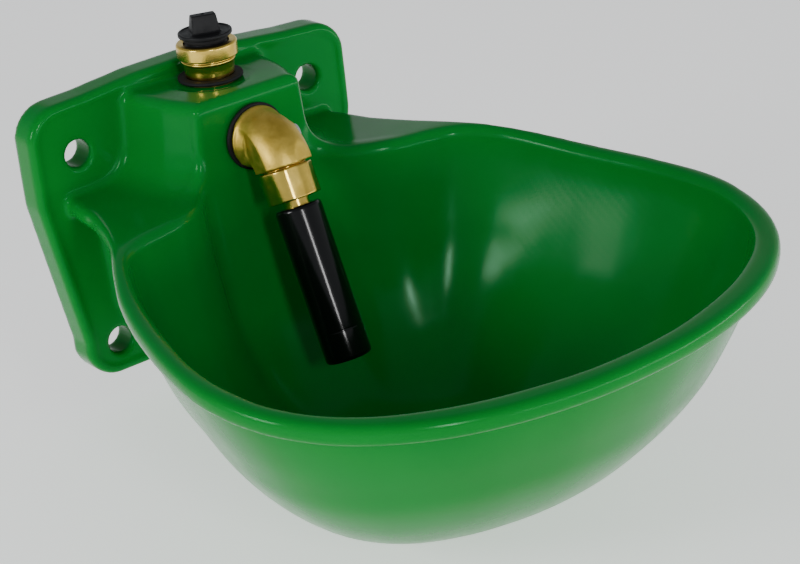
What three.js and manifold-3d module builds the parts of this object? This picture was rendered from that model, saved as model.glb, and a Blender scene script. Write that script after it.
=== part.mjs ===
// Wall-mounted animal drinking bowl with a tilt-tube valve.
// Millimetres. X to the right seen from the front, the wall is the plane y = 0, the bowl reaches forward along -Y, Z is up.
// The origin lies on the wall plane, on the centre line, at the height of the deck between plate and bowl.
import * as THREE from "three";
import { mergeVertices } from "three/addons/utils/BufferGeometryUtils.js";
import Module from "manifold-3d";

const wasm = await Module();
wasm.setup();

// ---------- driving dimensions ----------
const GAP = 0.3; // running and assembly gap between neighbouring pieces

// wall plate: a shallow tray, open towards the wall
const PLATE_DEPTH = 13.2; // wall to the bead round the front face
const PLATE_FACE_Y = 11.7; // wall to the recessed front face
const PLATE_SKIN = 3.0;
const PLATE_BEAD = 3.4;
const HOLE_R = 5.5; // screw holes
const HOLE_TUBE_R = 8.2;
const UPPER_HOLE = [53.8, 13.8];
const LOWER_HOLE = [48.4, -65.7];

// dome over the water way
const DOME_TOP = 31.6;
const DOME_FRONT = 51.0;
const DOME_DRAFT = 0.0026; // share of the width lost for each millimetre upwards
const DOME_BACK = 46.2; // inside of the front wall
const DOME_WALL = 3.7;

// bowl
const BOWL_CY = -151; // plan centre that the bowl's sections are scaled about
const FLOOR_Z = -94; // inside of the floor
const WALL = 4.0;
const RIM_DEPTH = 7.2; // height of the rolled rim and of the deck
const RIM_ROUND = 2.4;

// inlet
const INLET_Y = -25.8;
const SCOOP_R = 14.6;
const INLET_BORE_R = 8.8; // pipe thread, plain
const INLET_TAIL_R = 8.9;
const RING_R = 11.7;
const RING_Z = [40.7, 46.4];
const GASKET_T = 1.4;
const PLUG_THREAD_R = 8.4;
const PLUG_FLANGE_R = 10.3;

// outlet and tilt valve
const OUTLET_Z = 13.75;
const ELBOW_R = 11.0;
const ELBOW_BEND = 12.0; // bend radius of the elbow's centre line
const TILT = 22; // degrees that the valve axis leans forward from vertical
const VALVE = new THREE.Vector3(0, -68.2, 5.6); // lower end of the elbow
const NUT_R = 10.3;
const NUT_FLATS = 9.93; // centre to flat
const NUT_LEN = 12.0;
const TUBE_R = 9.0;
const TUBE_TOP = 15.6; // along the valve axis, from the elbow's end
const TUBE_END = 76.0;
const SEAT = 6.0; // where the stem's head sits
const HEAD_DROP = 1.25; // how far the underside of the stem's head rises to its rim, so that it can tip

const rad = (d) => (d * Math.PI) / 180;

// ---------- solids ----------
function solid(geometry) {
  const g = geometry.clone();
  for (const k of Object.keys(g.attributes))
    if (k !== "position") g.deleteAttribute(k);
  const m = mergeVertices(g, 1e-4);
  const p = m.attributes.position;
  const idx = Array.from(m.index.array);
  const keep = [];
  for (let i = 0; i < idx.length; i += 3)
    if (idx[i] !== idx[i + 1] && idx[i + 1] !== idx[i + 2] && idx[i] !== idx[i + 2])
      keep.push(idx[i], idx[i + 1], idx[i + 2]);
  const a = new THREE.Vector3(), b = new THREE.Vector3(), c = new THREE.Vector3();
  let vol = 0;
  for (let i = 0; i < keep.length; i += 3) {
    a.fromBufferAttribute(p, keep[i]);
    b.fromBufferAttribute(p, keep[i + 1]);
    c.fromBufferAttribute(p, keep[i + 2]);
    vol += a.dot(b.cross(c));
  }
  if (vol < 0)
    for (let i = 0; i < keep.length; i += 3)
      [keep[i + 1], keep[i + 2]] = [keep[i + 2], keep[i + 1]];
  return new wasm.Manifold(
    new wasm.Mesh({
      numProp: 3,
      vertProperties: new Float32Array(p.array),
      triVerts: new Uint32Array(keep),
    }),
  );
}
function geometryOf(s) {
  const m = s.getMesh();
  const v = new Float32Array(m.numVert * 3);
  for (let i = 0; i < m.numVert; i++)
    v.set(m.vertProperties.subarray(i * m.numProp, i * m.numProp + 3), i * 3);
  const g = new THREE.BufferGeometry();
  g.setAttribute("position", new THREE.BufferAttribute(v, 3));
  g.setIndex(new THREE.BufferAttribute(m.triVerts, 1));
  g.computeVertexNormals();
  return g;
}
const union = (...s) => s.reduce((p, q) => p.add(q));
const cut = (s, ...t) => t.reduce((p, q) => p.subtract(q), s);

// a closed turned shape about Z; the profile lists [radius, z]
function turned(profile, segments = 24) {
  const pts = profile.map(([r, z]) => new THREE.Vector2(Math.max(r, 0), z));
  let area = 0;
  pts.forEach((p, i) => (area += p.cross(pts[(i + 1) % pts.length])));
  if (area < 0) pts.reverse();
  return new THREE.LatheGeometry(pts, segments).rotateX(Math.PI / 2);
}
function rod(r, z0, z1, segments = 24) {
  return turned([[0, z0], [r, z0], [r, z1], [0, z1]], segments);
}
function ring(ri, ro, z0, z1, segments = 24) {
  return turned([[ri, z0], [ro, z0], [ro, z1], [ri, z1], [ri, z0]], segments);
}
// the same shapes with their axis along -Y (z becomes forward distance) or along +X
const forward = (g) => g.rotateX(Math.PI / 2);
const sideways = (g) => g.rotateY(Math.PI / 2);
const inset = (points, d) => {
  // moves each corner of a closed outline inwards by d
  const n = points.length, out = [];
  let area = 0;
  for (let i = 0; i < n; i++) {
    const [x0, y0] = points[i], [x1, y1] = points[(i + 1) % n];
    area += x0 * y1 - x1 * y0;
  }
  const s = area > 0 ? 1 : -1;
  for (let i = 0; i < n; i++) {
    const [ax, ay] = points[(i + n - 1) % n], [bx, by] = points[i], [cx, cy] = points[(i + 1) % n];
    let ux = bx - ax, uy = by - ay, vx = cx - bx, vy = cy - by;
    const lu = Math.hypot(ux, uy), lv = Math.hypot(vx, vy);
    ux /= lu; uy /= lu; vx /= lv; vy /= lv;
    let nx = -s * (uy + vy), ny = s * (ux + vx);
    const l = Math.hypot(nx, ny);
    nx /= l; ny /= l;
    const c = Math.max(nx * -s * uy + ny * s * ux, 0.5);
    out.push([bx + (nx * d) / c, by + (ny * d) / c]);
  }
  return out;
};
function shapeOf(points) {
  return new THREE.Shape(points.map(([x, y]) => new THREE.Vector2(x, y)));
}
function prism(points, z0, z1, bevel = 0, steps = 3) {
  const g = new THREE.ExtrudeGeometry(shapeOf(bevel > 0 ? inset(points, bevel) : points), {
    depth: z1 - z0 - 2 * bevel,
    bevelEnabled: bevel > 0,
    bevelThickness: bevel,
    bevelSize: bevel,
    bevelSegments: steps,
    curveSegments: 8,
  });
  return g.translate(0, 0, z0 + bevel);
}
// an outline in x and z pushed forward from y = -f0 to y = -f1
function slab(points, f0, f1, bevel = 0, steps = 3) {
  return prism(points, f0, f1, bevel, steps).rotateX(Math.PI / 2);
}
const mirrored = (half) => half.concat(half.slice().reverse().map(([x, y]) => [-x, y]).filter(([x]) => Math.abs(x) > 1e-6));
function arc(cx, cy, r, a0, a1, n) {
  const out = [];
  for (let i = 0; i <= n; i++) {
    const a = rad(a0 + ((a1 - a0) * i) / n);
    out.push([cx + r * Math.cos(a), cy + r * Math.sin(a)]);
  }
  return out;
}
function lerpTable(table, x) {
  if (x <= table[0][0]) return table[0][1];
  for (let i = 1; i < table.length; i++)
    if (x <= table[i][0]) {
      const [x0, y0] = table[i - 1], [x1, y1] = table[i];
      return y0 + ((y1 - y0) * (x - x0)) / (x1 - x0);
    }
  return table[table.length - 1][1];
}
const hexagon = (apothem, turn = 0) =>
  Array.from({ length: 6 }, (_, i) => {
    const a = rad(30 + 60 * i + turn), r = apothem / Math.cos(rad(30));
    return [r * Math.cos(a), r * Math.sin(a)];
  });

// ---------- bowl body ----------
// height of the rim and the deck against forward distance
const RIM_Z = [[0, -1.9], [13, -1.7], [30, -1.0], [47, -0.1], [60, 0.7], [72, 1.3], [83, 1.1], [93, 0.1], [103, -1.4], [113.5, -2.8], [124, -3.9], [135, -4.6], [146, -5.2], [158, -5.8], [170, -6.4], [183, -7.1], [196, -8.3], [210, -9.4], [226, -10.6], [242, -11.5], [259, -12.0]];
const rimZ = (y) => lerpTable(RIM_Z, -y);
// half outlines, x against forward distance
const OUT = [[0, 9], [61, 9], [62, 13], [64, 22], [65.3, 30], [66.6, 38], [69.5, 47], [74.2, 60], [79.6, 72], [85.4, 82.6], [91, 93], [96.2, 103], [100.4, 113.5], [103.9, 124], [107, 135], [109.8, 146], [112.2, 158], [113.9, 170], [114.2, 181], [112.6, 192], [108.9, 204], [102.5, 216], [93.5, 227], [82, 236.5], [68, 244.8], [52, 251.3], [35, 255.8], [18, 258.3], [0, 259]];
const IN = [[0, 51.2], [12, 51.2], [20, 51.5], [25.5, 53.4], [29, 56.3], [32.5, 60.2], [37, 64.6], [43, 68.8], [50, 72.2], [58, 74.3], [66, 76.2], [73, 79.4], [78.6, 84.2], [83.2, 90.5], [87.4, 99], [91.3, 109], [94.5, 119], [97.4, 129.3], [100.1, 139.5], [102.7, 150], [104.8, 161], [105.9, 172.6], [105.4, 184.5], [102.9, 196], [98, 206.8], [90.6, 216.8], [81, 225.3], [69, 232.6], [54, 239.3], [37, 244.3], [19, 247.9], [0, 249]];
function polar(outline) {
  const t = outline.map(([x, f]) => [Math.atan2(x, f + BOWL_CY), Math.hypot(x, f + BOWL_CY)]); // 0 is the front, pi the rear
  t.sort((p, q) => p[0] - q[0]);
  return t;
}
const P_IN = polar(IN);
// inside profile: share of the way down, radius share at the sides and front, radius share at the rear
const PROFILE = [[0.05, 0.997, 0.997], [0.13, 0.982, 0.99], [0.25, 0.945, 0.976], [0.37, 0.9, 0.956], [0.49, 0.85, 0.934], [0.6, 0.785, 0.904], [0.7, 0.71, 0.863], [0.79, 0.625, 0.815], [0.87, 0.52, 0.737], [0.93, 0.415, 0.649], [0.97, 0.3, 0.537], [0.992, 0.17, 0.35]];
function innerRings(angle) {
  const a = Math.abs(angle);
  const R = lerpTable(P_IN, a);
  const y = BOWL_CY - R * Math.cos(a);
  const zr = rimZ(y);
  const fromRear = Math.PI - a;
  const w = THREE.MathUtils.smoothstep(fromRear, rad(22), rad(80));
  return {
    R,
    zr,
    rings: PROFILE.map(([h, ks, kr]) => [R * (kr + (ks - kr) * w), zr * (1 - h) + FLOOR_Z * h]),
  };
}
// bowl-shaped closed surfaces: a lathe whose rings are pulled to the plan outline
function bowlLoft(ringsAt, segments) {
  const count = ringsAt(0).length;
  const pts = [];
  for (let i = 0; i < count; i++) pts.push(new THREE.Vector2(i === 0 || i === count - 1 ? 0 : 1, i));
  const g = new THREE.LatheGeometry(pts, segments);
  const p = g.attributes.position;
  const cache = new Map();
  for (let i = 0; i < p.count; i++) {
    const column = Math.floor(i / count) % segments;
    const row = i % count;
    if (!cache.has(column)) {
      let ang = (column / segments) * 2 * Math.PI;
      if (ang > Math.PI) ang -= 2 * Math.PI;
      cache.set(column, [ang, ringsAt(ang)]);
    }
    const [ang, rings] = cache.get(column);
    const [r, z] = rings[row];
    p.setXYZ(i, r * Math.sin(ang), BOWL_CY - r * Math.cos(ang), z);
  }
  return g;
}
const SEGMENTS = 48;
const cavity = solid(
  bowlLoft((ang) => {
    const { R, zr, rings } = innerRings(ang);
    return [[0, 60], [R + 1.5, 60], [R + 1.5, zr - 0.2], [R + 0.4, zr - 1.5], [R, zr - 3.2], ...rings, [0, FLOOR_Z]];
  }, SEGMENTS),
);
const shellOuter = solid(
  bowlLoft((ang) => {
    const { R, zr, rings } = innerRings(ang);
    const line = [[R, zr - 3.5], ...rings, [0, FLOOR_Z]];
    const out = line.slice(0, -1).map(([r, z], i) => {
      const [r0, z0] = line[Math.max(i - 1, 0)], [r1, z1] = line[i + 1];
      const dr = r1 - r0, dz = z1 - z0, l = Math.hypot(dr, dz);
      return [r - (dz / l) * WALL, z + (dr / l) * WALL];
    });
    return [[0, zr - 3.5], ...out, [0, FLOOR_Z - WALL]];
  }, SEGMENTS),
);
// deck and rolled rim in one, following the rim height
const flangeGeo = prism(mirrored(OUT.map(([x, f]) => [x, -f])), -RIM_DEPTH, 0, RIM_ROUND, 2);
{
  const p = flangeGeo.attributes.position;
  for (let i = 0; i < p.count; i++) p.setZ(i, p.getZ(i) + rimZ(p.getY(i)));
}
const flange = solid(flangeGeo);

// plate outline in x and z
const plateHalf = [
  [0, 38.0], [24, 37.4], [47, 35.2], [59.6, 34.6],
  ...arc(59.4, 20.6, 14, 80, 10, 5),
  [73.4, 8], [73.4, -3.5], [70.2, -22.5], [66, -46.9], [63.2, -63],
  ...arc(49.6, -65.3, 14, -12, -82, 5),
  [0, -79.3],
];
const plateOutline = mirrored(plateHalf);
const plate = cut(solid(slab(plateOutline, -2.6, PLATE_DEPTH, 2.6, 2)), solid(slab(plateOutline.map(([x, z]) => [x * 1.5, z * 1.5]), -6, 0)));
const recess = solid(slab(inset(plateOutline, 2.4 + PLATE_BEAD), PLATE_FACE_Y, PLATE_DEPTH + 4));
const plateHollow = solid(slab(inset(plateOutline, PLATE_SKIN), -1, PLATE_FACE_Y - PLATE_SKIN));

// neck that carries the bowl, between plate and bowl, under the deck
const neckHalf = [[0, -3], [50.2, -3], [49.6, -13], [47.2, -47], [43.6, -58], [37, -67], [26, -73.2], [12, -75.4], [0, -75.6]];
const neck = solid(slab(mirrored(neckHalf), 9.5, 78));
const neckHollow = solid(slab(inset(mirrored(neckHalf), 3.6), -1, 77)).subtract(shellOuter);

// dome, drafted so that it narrows upwards; its outline is given at deck height
const taper = (g) => {
  const p = g.attributes.position;
  for (let i = 0; i < p.count; i++) {
    const k = 1 - DOME_DRAFT * Math.max(p.getZ(i), 0);
    p.setX(i, p.getX(i) * k);
  }
  return g;
};
const domeHalf = [[36.0, -5], [35.0, -13], [32.6, -26], [31.2, -33], [29.4, -39.5], [26.4, -48.5], [23.8, -DOME_FRONT], [0, -DOME_FRONT]];
const dome = solid(taper(prism(mirrored(domeHalf), -7, DOME_TOP, 2.4, 3)));
const domeHollowHalf = [[29.4, 1], [28.6, -17], [27.0, -26], [25.2, -34], [23.4, -38.5], [21.2, -43.5], [19.5, -DOME_BACK], [0, -DOME_BACK]];
const domeHollow = solid(prism(mirrored(domeHollowHalf), -24, DOME_TOP - DOME_WALL));

let body = union(plate.subtract(recess), neck, shellOuter, flange, dome);
body = cut(body, plateHollow, cavity);
const holes = [];
for (const [x, z] of [UPPER_HOLE, LOWER_HOLE])
  for (const s of [-1, 1]) {
    body = body.add(solid(forward(rod(HOLE_TUBE_R, 0, PLATE_FACE_Y, 24)).translate(s * x, 0, z)));
    holes.push(solid(forward(rod(HOLE_R, -2, 20, 24)).translate(s * x, 0, z)));
  }
// the plate's face is scooped out round the inlet so that its gasket and socket clear it
const scoopWall = solid(rod(SCOOP_R + 2.6, 26, 44, 36).translate(0, INLET_Y, 0)).intersect(solid(slab(inset(plateOutline, 1.2), 0, PLATE_FACE_Y - 1)));
body = cut(body.add(scoopWall), neckHollow, domeHollow, solid(rod(SCOOP_R, DOME_TOP, 60, 36).translate(0, INLET_Y, 0)), ...holes);
body = cut(
  body,
  solid(rod(INLET_TAIL_R + 0.35, 20, 40, 32).translate(0, INLET_Y, 0)),
  solid(forward(rod(8.6, 40, 52, 32)).translate(0, 0, OUTLET_Z)),
);

// ---------- materials ----------
const green = new THREE.MeshStandardMaterial({ color: 0x0a7a35, roughness: 0.22, metalness: 0 });
const brass = new THREE.MeshStandardMaterial({ color: 0xb8963f, roughness: 0.3, metalness: 1 });
const castBrass = new THREE.MeshStandardMaterial({ color: 0xa88b45, roughness: 0.5, metalness: 1 });
const rubber = new THREE.MeshStandardMaterial({ color: 0x17171a, roughness: 0.8, metalness: 0 });
const blackPlastic = new THREE.MeshStandardMaterial({ color: 0x1b1b1e, roughness: 0.55, metalness: 0 });
const glossBlack = new THREE.MeshStandardMaterial({ color: 0x050506, roughness: 0.18, metalness: 0 });
const steel = new THREE.MeshStandardMaterial({ color: 0xb9bcc0, roughness: 0.3, metalness: 1 });
const palePlastic = new THREE.MeshStandardMaterial({ color: 0xb9c0c4, roughness: 0.5, metalness: 0 });

const part = new THREE.Group();
function piece(name, shape, material, parent = part) {
  const g = shape.isBufferGeometry ? shape : geometryOf(shape);
  const m = new THREE.Mesh(g, material);
  m.name = name;
  parent.add(m);
  return m;
}
piece("bowl_body", body, green);

// ---------- inlet, about the vertical axis at INLET_Y ----------
const inlet = new THREE.Group();
inlet.position.set(0, INLET_Y, 0);
part.add(inlet);
const seatZ = DOME_TOP + GAP + GASKET_T + GAP; // underside of the socket's shoulder
piece(
  "inlet_socket",
  turned([
    [INLET_BORE_R, RING_Z[1]], [RING_R - 0.4, RING_Z[1]], [RING_R, RING_Z[1] - 0.4], [RING_R, RING_Z[0] + 0.3], [RING_R - 0.3, RING_Z[0]],
    [10, RING_Z[0]], [10, RING_Z[0] - 0.6], [10.4, RING_Z[0] - 0.9], [10.4, RING_Z[0] - 1.6], [10.1, RING_Z[0] - 1.9], [9.5, seatZ + 1], [9.4, seatZ], [INLET_TAIL_R, seatZ],
    [INLET_TAIL_R, 18.2], [6.6, 18.2], [6.6, 29.6], [INLET_BORE_R - 0.7, 29.6], [INLET_BORE_R - 0.7, 33.6], [INLET_BORE_R, 34.6], [INLET_BORE_R, RING_Z[1]],
  ], 28),
  brass,
  inlet,
);
const gasketZ = DOME_TOP + GAP;
piece("inlet_gasket", turned([[9.3, gasketZ], [12.3, gasketZ], [12.6, gasketZ + 0.4], [12.6, gasketZ + 1], [12.3, gasketZ + GASKET_T], [9.3, gasketZ + GASKET_T], [9.3, gasketZ]], 24), rubber, inlet);
const strainer = cut(
  union(solid(rod(7.7, 29.9, 30.8, 24)), solid(rod(6, 20.4, 30.3, 24))),
  solid(rod(5.3, 21.1, 33, 24)),
  ...[0, 45, 90, 135].map((a) => solid(new THREE.BoxGeometry(15, 2, 6).rotateZ(rad(a)).translate(0, 0, 25.6))),
);
piece("inlet_strainer", strainer, steel, inlet);
// a block with four sloping sides, [half width, half depth] below and above
function frustum([w0, d0], [w1, d1], z0, z1) {
  const g = new THREE.BoxGeometry(2, 2, z1 - z0).translate(0, 0, (z0 + z1) / 2);
  const p = g.attributes.position;
  for (let i = 0; i < p.count; i++) {
    const top = p.getZ(i) > (z0 + z1) / 2;
    p.setX(i, p.getX(i) * (top ? w1 : w0));
    p.setY(i, p.getY(i) * (top ? d1 : d0));
  }
  return g;
}
// transport plug: a tapered tab for a key on a flange, with a plain thread
piece(
  "transport_plug",
  union(
    solid(turned([[0, 36.4], [PLUG_THREAD_R - 0.8, 36.4], [PLUG_THREAD_R, 37.2], [PLUG_THREAD_R, 45.8], [7.6, 46.4], [7.6, 48.8], [PLUG_FLANGE_R - 0.3, 48.8], [PLUG_FLANGE_R, 49.1], [PLUG_FLANGE_R, 50], [PLUG_FLANGE_R - 0.4, 50.3], [PLUG_FLANGE_R - 1, 50.2], [0, 50]], 24)),
    solid(frustum([5.6, 3.5], [4.7, 2.1], 49, 56.8).rotateZ(rad(-20.5))),
  ).subtract(solid(rod(5.6, 30, 45, 20))),
  blackPlastic,
  inlet,
);
piece("plug_seal", turned([[7.9, 46.9], [8.3, 46.75], [8.6, 47.2], [8.6, 48], [8.3, 48.4], [7.9, 48.4], [7.9, 46.9]], 24), rubber, inlet);

// ---------- block inside the dome that both fittings screw into ----------
const blockOutline = [[-12.4, -42.9], [-9.4, -45.9], [9.4, -45.9], [12.4, -42.9], [12.4, -15], [9.4, -12.4], [-9.4, -12.4], [-12.4, -15]];
const block = cut(
  solid(prism(blockOutline, 2.6, DOME_TOP - DOME_WALL - GAP)),
  solid(rod(INLET_TAIL_R + GAP, 16, 40, 32).translate(0, INLET_Y, 0)),
  solid(rod(6.4, 6, 20, 24).translate(0, INLET_Y, 0)),
  solid(forward(rod(8.5, 34.9, 50, 32)).translate(0, 0, OUTLET_Z)),
  solid(forward(rod(6, 25, 40, 24)).translate(0, 0, OUTLET_Z)),
);
piece("valve_block", block, castBrass);
piece("inlet_inner_seal", ring(6.6, 8.8, 16.3, 17.9, 28), rubber, inlet);

// ---------- outlet elbow ----------
const outlet = new THREE.Group();
outlet.position.set(0, 0, OUTLET_Z);
part.add(outlet);
piece("outlet_gasket", forward(turned([[8.7, 51.3], [12.7, 51.3], [13, 51.7], [13, 52.3], [12.7, 52.7], [8.7, 52.7], [8.7, 51.3]], 24)), rubber, outlet);
piece("outlet_inner_seal", forward(ring(6.2, 8.2, 35.1, 36.1, 28)), rubber, outlet);

const axisDown = new THREE.Vector3(0, -Math.sin(rad(TILT)), -Math.cos(rad(TILT)));
const toValve = new THREE.Matrix4().makeRotationX(-rad(TILT)).setPosition(VALVE);
const atValve = (g) => g.applyMatrix4(toValve);
// along the valve axis, s runs down from the elbow's end, so local z is -s
const vrod = (r, s0, s1, n = 28) => rod(r, -s1, -s0, n);
const vring = (ri, ro, s0, s1, n = 28) => ring(ri, ro, -s1, -s0, n);

const bendStart = new THREE.Vector3(0, VALVE.y + ELBOW_BEND * Math.sin(rad(90 - TILT)) + 0.7 * Math.sin(rad(TILT)), OUTLET_Z);
const bendCentre = new THREE.Vector3(0, bendStart.y, OUTLET_Z - ELBOW_BEND);
class ElbowCurve extends THREE.Curve {
  getPoint(t, target = new THREE.Vector3()) {
    const a = rad((90 - TILT) * t);
    return target.set(0, bendCentre.y - ELBOW_BEND * Math.sin(a), bendCentre.z + ELBOW_BEND * Math.cos(a));
  }
}
function bend(r, n = 9, steps = 8) {
  const s = new THREE.Shape();
  s.absarc(0, 0, r, 0, Math.PI * 2, false);
  return new THREE.ExtrudeGeometry(s, { steps, extrudePath: new ElbowCurve(), bevelEnabled: false, curveSegments: n });
}
const elbowFlats = (d) => {
  // outline of the elbow's cross-section limits: flats at these angles, seen down the valve axis
  const big = 30;
  return [
    ...[172, -68, -8].map((a) => new THREE.BoxGeometry(big, 60, 60).translate(d + big / 2, 0, 0).rotateZ(rad(a)).translate(0, 0, 14)),
    ...[52, 112].map((a) => new THREE.BoxGeometry(big, 60, 20).translate(d + big / 2, 0, 0).rotateZ(rad(a)).translate(0, 0, -6)),
  ];
};
const startF = -bendStart.y;
let elbowOuter = union(solid(bend(ELBOW_R)), solid(forward(rod(ELBOW_R, startF - 3, startF + 0.05, 24)).translate(0, 0, OUTLET_Z)), solid(atValve(vrod(ELBOW_R, -0.75, 0, 24))));
elbowOuter = cut(elbowOuter, ...elbowFlats(10.1).map((g) => solid(atValve(g))));
let elbow = union(
  elbowOuter,
  solid(forward(turned([[0, 53], [11.3, 53], [11.6, 53.3], [11.6, 54.1], [11.2, 54.8], [11, 56], [0, 56]], 24)).translate(0, 0, OUTLET_Z)),
  solid(forward(rod(8.15, 36.4, 53.4, 28)).translate(0, 0, OUTLET_Z)),
  solid(sideways(rod(5.4, 4, 9.5 + 1.1, 20)).translate(0, -60, 13.2)),
);
elbow = cut(
  elbow,
  solid(bend(5.6, 5)),
  solid(forward(rod(5.6, 30, startF + 0.1, 20)).translate(0, 0, OUTLET_Z)),
  solid(atValve(vrod(5.6, -1.2, 2, 20))),
  solid(atValve(vrod(8.9, -4.3, 2, 28))),
  solid(sideways(rod(4.5, 5.8, 20, 20)).translate(0, -60, 13.2)),
  solid(sideways(rod(2.6, 0, 12, 16)).translate(0, -60, 13.2)),
);
piece("outlet_elbow", elbow, castBrass);

// flow screw on the elbow's right side
const flow = new THREE.Group();
flow.position.set(-2.4, -60, 13.2);
part.add(flow);
piece(
  "flow_screw",
  union(
    solid(sideways(turned([[0, 3.4], [1.6, 3.4], [2.2, 4.2], [2.2, 10.4], [4, 10.4], [4, 10.9], [2.7, 10.9], [2.7, 12.3], [4, 12.3], [4, 13.4], [3.4, 14.5], [2, 15.1], [0, 15.2]], 24))),
  ).subtract(solid(new THREE.BoxGeometry(2.4, 9, 1.2).translate(15.2, 0, 0))),
  palePlastic,
  flow,
);
piece("flow_screw_seal", sideways(ring(3.0, 4.1, 11.1, 12.1, 24)), rubber, flow);

// ---------- tilt valve: everything below the elbow, about the leaning axis ----------
const valve = new THREE.Group();
valve.rotation.x = -rad(TILT);
valve.position.copy(VALVE);
part.add(valve);
const nutBody = cut(
  union(
    solid(prism(hexagon(NUT_FLATS, 13), -(0.9 + NUT_LEN), -0.9)).intersect(solid(turned([[0, -12.9], [NUT_R - 0.7, -12.9], [NUT_R, -12.3], [NUT_R, -1.4], [NUT_R - 0.6, -0.9], [0, -0.9]], 48))),
    solid(vrod(8.6, -4, 1.2, 28)),
  ),
  solid(vrod(7.2, -8, 8.6, 28)),
  solid(vrod(4.2, 7, 12, 24)),
  solid(vrod(7.0, 10.1, 16, 28)),
);
piece("valve_nut", nutBody, brass, valve);
piece("seat_gasket", vring(3.6, 6.9, 6.45, 8.3, 28), rubber, valve);
piece("spring_retainer", vring(4.2, 6.9, -3.8, -2.8, 24), brass, valve);
// stem: pin, hub, head with a tapered underside, rod, hollow collar with windows, plain thread in the tube
let stem = solid(
  turned([
    [0, -24], [5, -24], [5, -12.2], [1.9, -12.2], [1.9, -SEAT], [6, -SEAT + HEAD_DROP], [6, -4.55], [5.8, -4.4], [2.6, -4.4], [1.2, -4.4], [1.2, -1.9], [0, -1.9],
  ], 28),
);
stem = cut(
  stem,
  solid(vrod(2.7, 13.2, 30, 16)),
  solid(new THREE.CylinderGeometry(1.2, 1.2, 14, 12).rotateZ(Math.PI / 2).translate(0, 0, -14.2)),
);
piece("valve_stem", stem, brass, valve);
piece("spring_follower", vring(2.1, 3.6, 3.15, 3.65, 24), steel, valve);
// cone spring between retainer and follower
class SpringCurve extends THREE.Curve {
  getPoint(t, target = new THREE.Vector3()) {
    const a = t * 3.4 * 2 * Math.PI, r = 5.9 - 2.6 * t;
    return target.set(r * Math.cos(a), r * Math.sin(a), 1.95 - 4.35 * t);
  }
}
const wire = new THREE.Shape();
wire.absarc(0, 0, 0.45, 0, Math.PI * 2, false);
piece("valve_spring", new THREE.ExtrudeGeometry(wire, { steps: 42, extrudePath: new SpringCurve(), bevelEnabled: false, curveSegments: 3 }), steel, valve);
piece(
  "push_tube",
  turned([
    [5.3, -TUBE_TOP], [TUBE_R - 0.9, -TUBE_TOP], [TUBE_R - 0.2, -TUBE_TOP - 0.4], [TUBE_R, -TUBE_TOP - 1.2], [TUBE_R, -TUBE_END + 1], [TUBE_R - 0.5, -TUBE_END + 0.2], [TUBE_R - 1, -TUBE_END],
    [6.2, -TUBE_END], [6.2, -24.4], [5.3, -24.4], [5.3, -TUBE_TOP],
  ], 24),
  glossBlack,
  valve,
);

export default part;
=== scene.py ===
import math

import bmesh
import bpy
import numpy as np
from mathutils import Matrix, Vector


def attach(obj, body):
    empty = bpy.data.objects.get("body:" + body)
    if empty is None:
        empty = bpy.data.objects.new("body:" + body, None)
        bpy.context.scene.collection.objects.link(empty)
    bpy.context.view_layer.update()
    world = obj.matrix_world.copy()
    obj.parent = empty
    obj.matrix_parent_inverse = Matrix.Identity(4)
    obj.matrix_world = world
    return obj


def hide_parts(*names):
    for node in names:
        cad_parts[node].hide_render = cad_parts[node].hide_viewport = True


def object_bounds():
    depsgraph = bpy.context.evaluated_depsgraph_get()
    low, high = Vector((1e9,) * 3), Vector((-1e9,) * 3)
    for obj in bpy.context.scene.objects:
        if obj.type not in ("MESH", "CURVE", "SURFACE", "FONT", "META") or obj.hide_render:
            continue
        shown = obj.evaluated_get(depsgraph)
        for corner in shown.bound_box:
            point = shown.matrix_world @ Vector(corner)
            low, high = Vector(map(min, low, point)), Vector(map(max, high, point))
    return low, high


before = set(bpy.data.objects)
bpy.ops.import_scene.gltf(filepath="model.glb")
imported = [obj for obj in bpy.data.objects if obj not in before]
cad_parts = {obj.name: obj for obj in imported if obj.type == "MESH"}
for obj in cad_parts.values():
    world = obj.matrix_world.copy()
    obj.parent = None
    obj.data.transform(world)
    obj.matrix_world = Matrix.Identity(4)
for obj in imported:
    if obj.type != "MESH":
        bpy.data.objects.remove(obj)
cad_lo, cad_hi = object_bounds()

import openvdb as vdb
from mathutils import Matrix, Vector

MM = 0.001
scene = bpy.context.scene
rad = math.radians

# ------------------------------------------------------------------ curves
def spline(points, per=6, closed=False):
    """Dense Catmull-Rom points through the given ones."""
    P = np.array(points, float)
    n = len(P)
    out = []
    for i in range(n if closed else n - 1):
        if closed:
            p0, p1, p2, p3 = P[(i - 1) % n], P[i], P[(i + 1) % n], P[(i + 2) % n]
        else:
            p1, p2 = P[i], P[i + 1]
            p0 = P[i - 1] if i else 2 * p1 - p2
            p3 = P[i + 2] if i + 2 < n else 2 * p2 - p1
        for j in range(per):
            t = j / per
            out.append(0.5 * ((2 * p1) + (p2 - p0) * t + (2 * p0 - 5 * p1 + 4 * p2 - p3) * t * t + (3 * p1 - p0 - 3 * p2 + p3) * t ** 3))
    if not closed:
        out.append(P[-1])
    return np.array(out)


def mirrored(half):
    return [list(p) for p in half] + [[-x, y] for x, y in reversed(half) if abs(x) > 1e-6]


def arc(cx, cy, r, a0, a1, n):
    return [[cx + r * math.cos(rad(a0 + (a1 - a0) * i / n)), cy + r * math.sin(rad(a0 + (a1 - a0) * i / n))] for i in range(n + 1)]


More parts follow.
